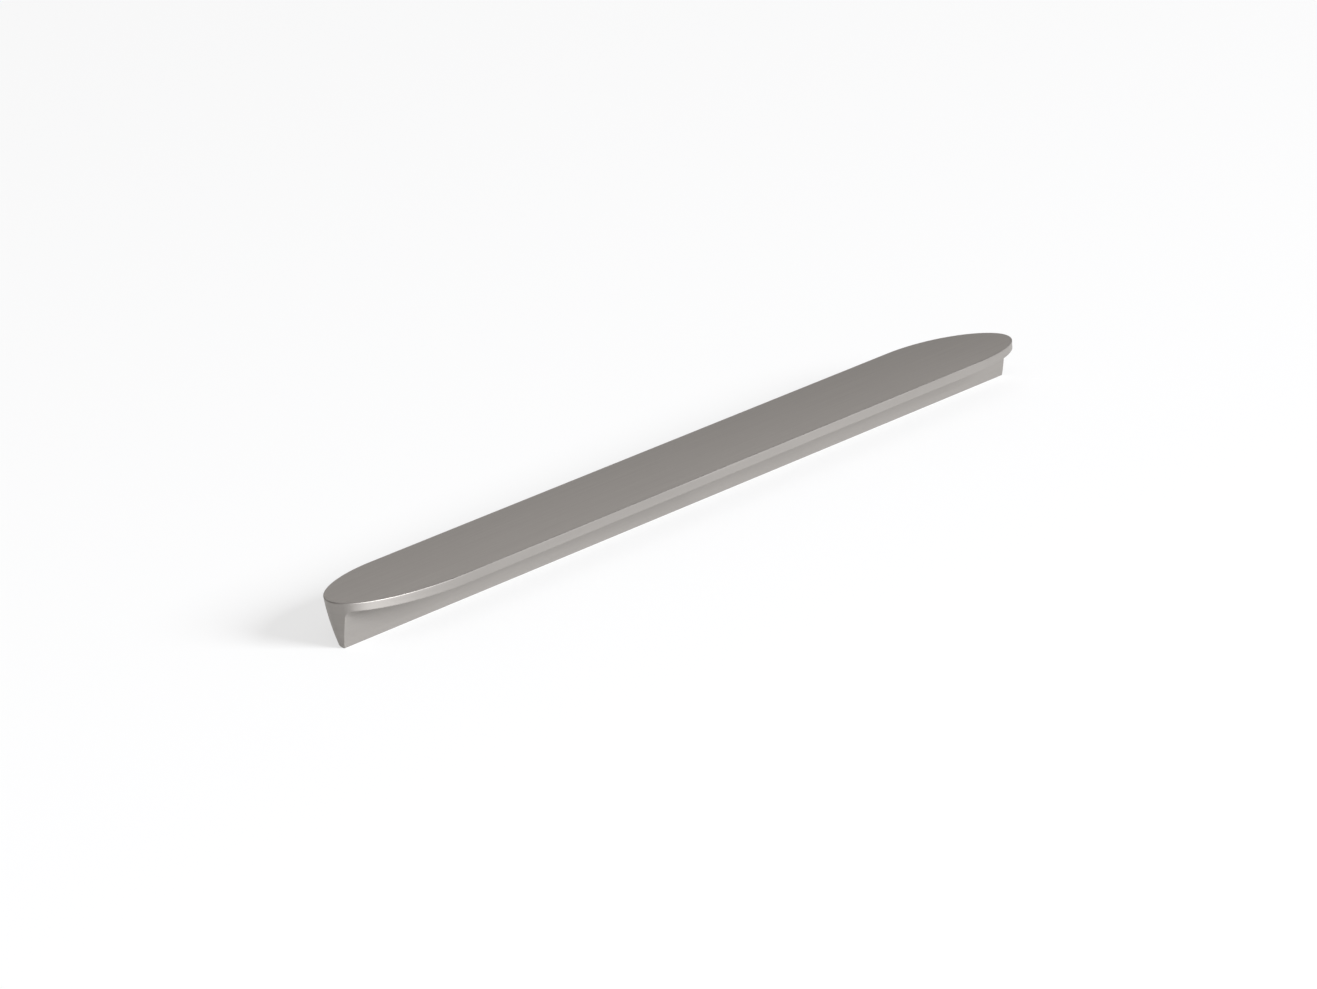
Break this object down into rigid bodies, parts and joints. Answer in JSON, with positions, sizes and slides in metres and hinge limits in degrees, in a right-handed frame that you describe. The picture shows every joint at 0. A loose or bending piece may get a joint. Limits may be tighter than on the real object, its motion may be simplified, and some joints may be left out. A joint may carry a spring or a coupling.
{
  "type": "handle strip",
  "caption": "Long slim handle strip with round ends, a slightly hollow top, a finger recess under its front lip and a tapering foot with two tapped holes.",
  "frame": {"origin": "middle of the strip's length and of the plate's width, on the plane of the foot's underside", "axes": "+X along the strip, +Z from the foot towards the plate, -Y towards the lip and the finger recess"},
  "size_m": [0.4, 0.0297, 0.013],
  "materials": {
    "satin_metal": "satin, fine-ground along the strip, warm stainless-steel tone"
  },
  "bodies": {
    "root": {"handle_strip": "satin_metal"}
  },
  "joints": []
}
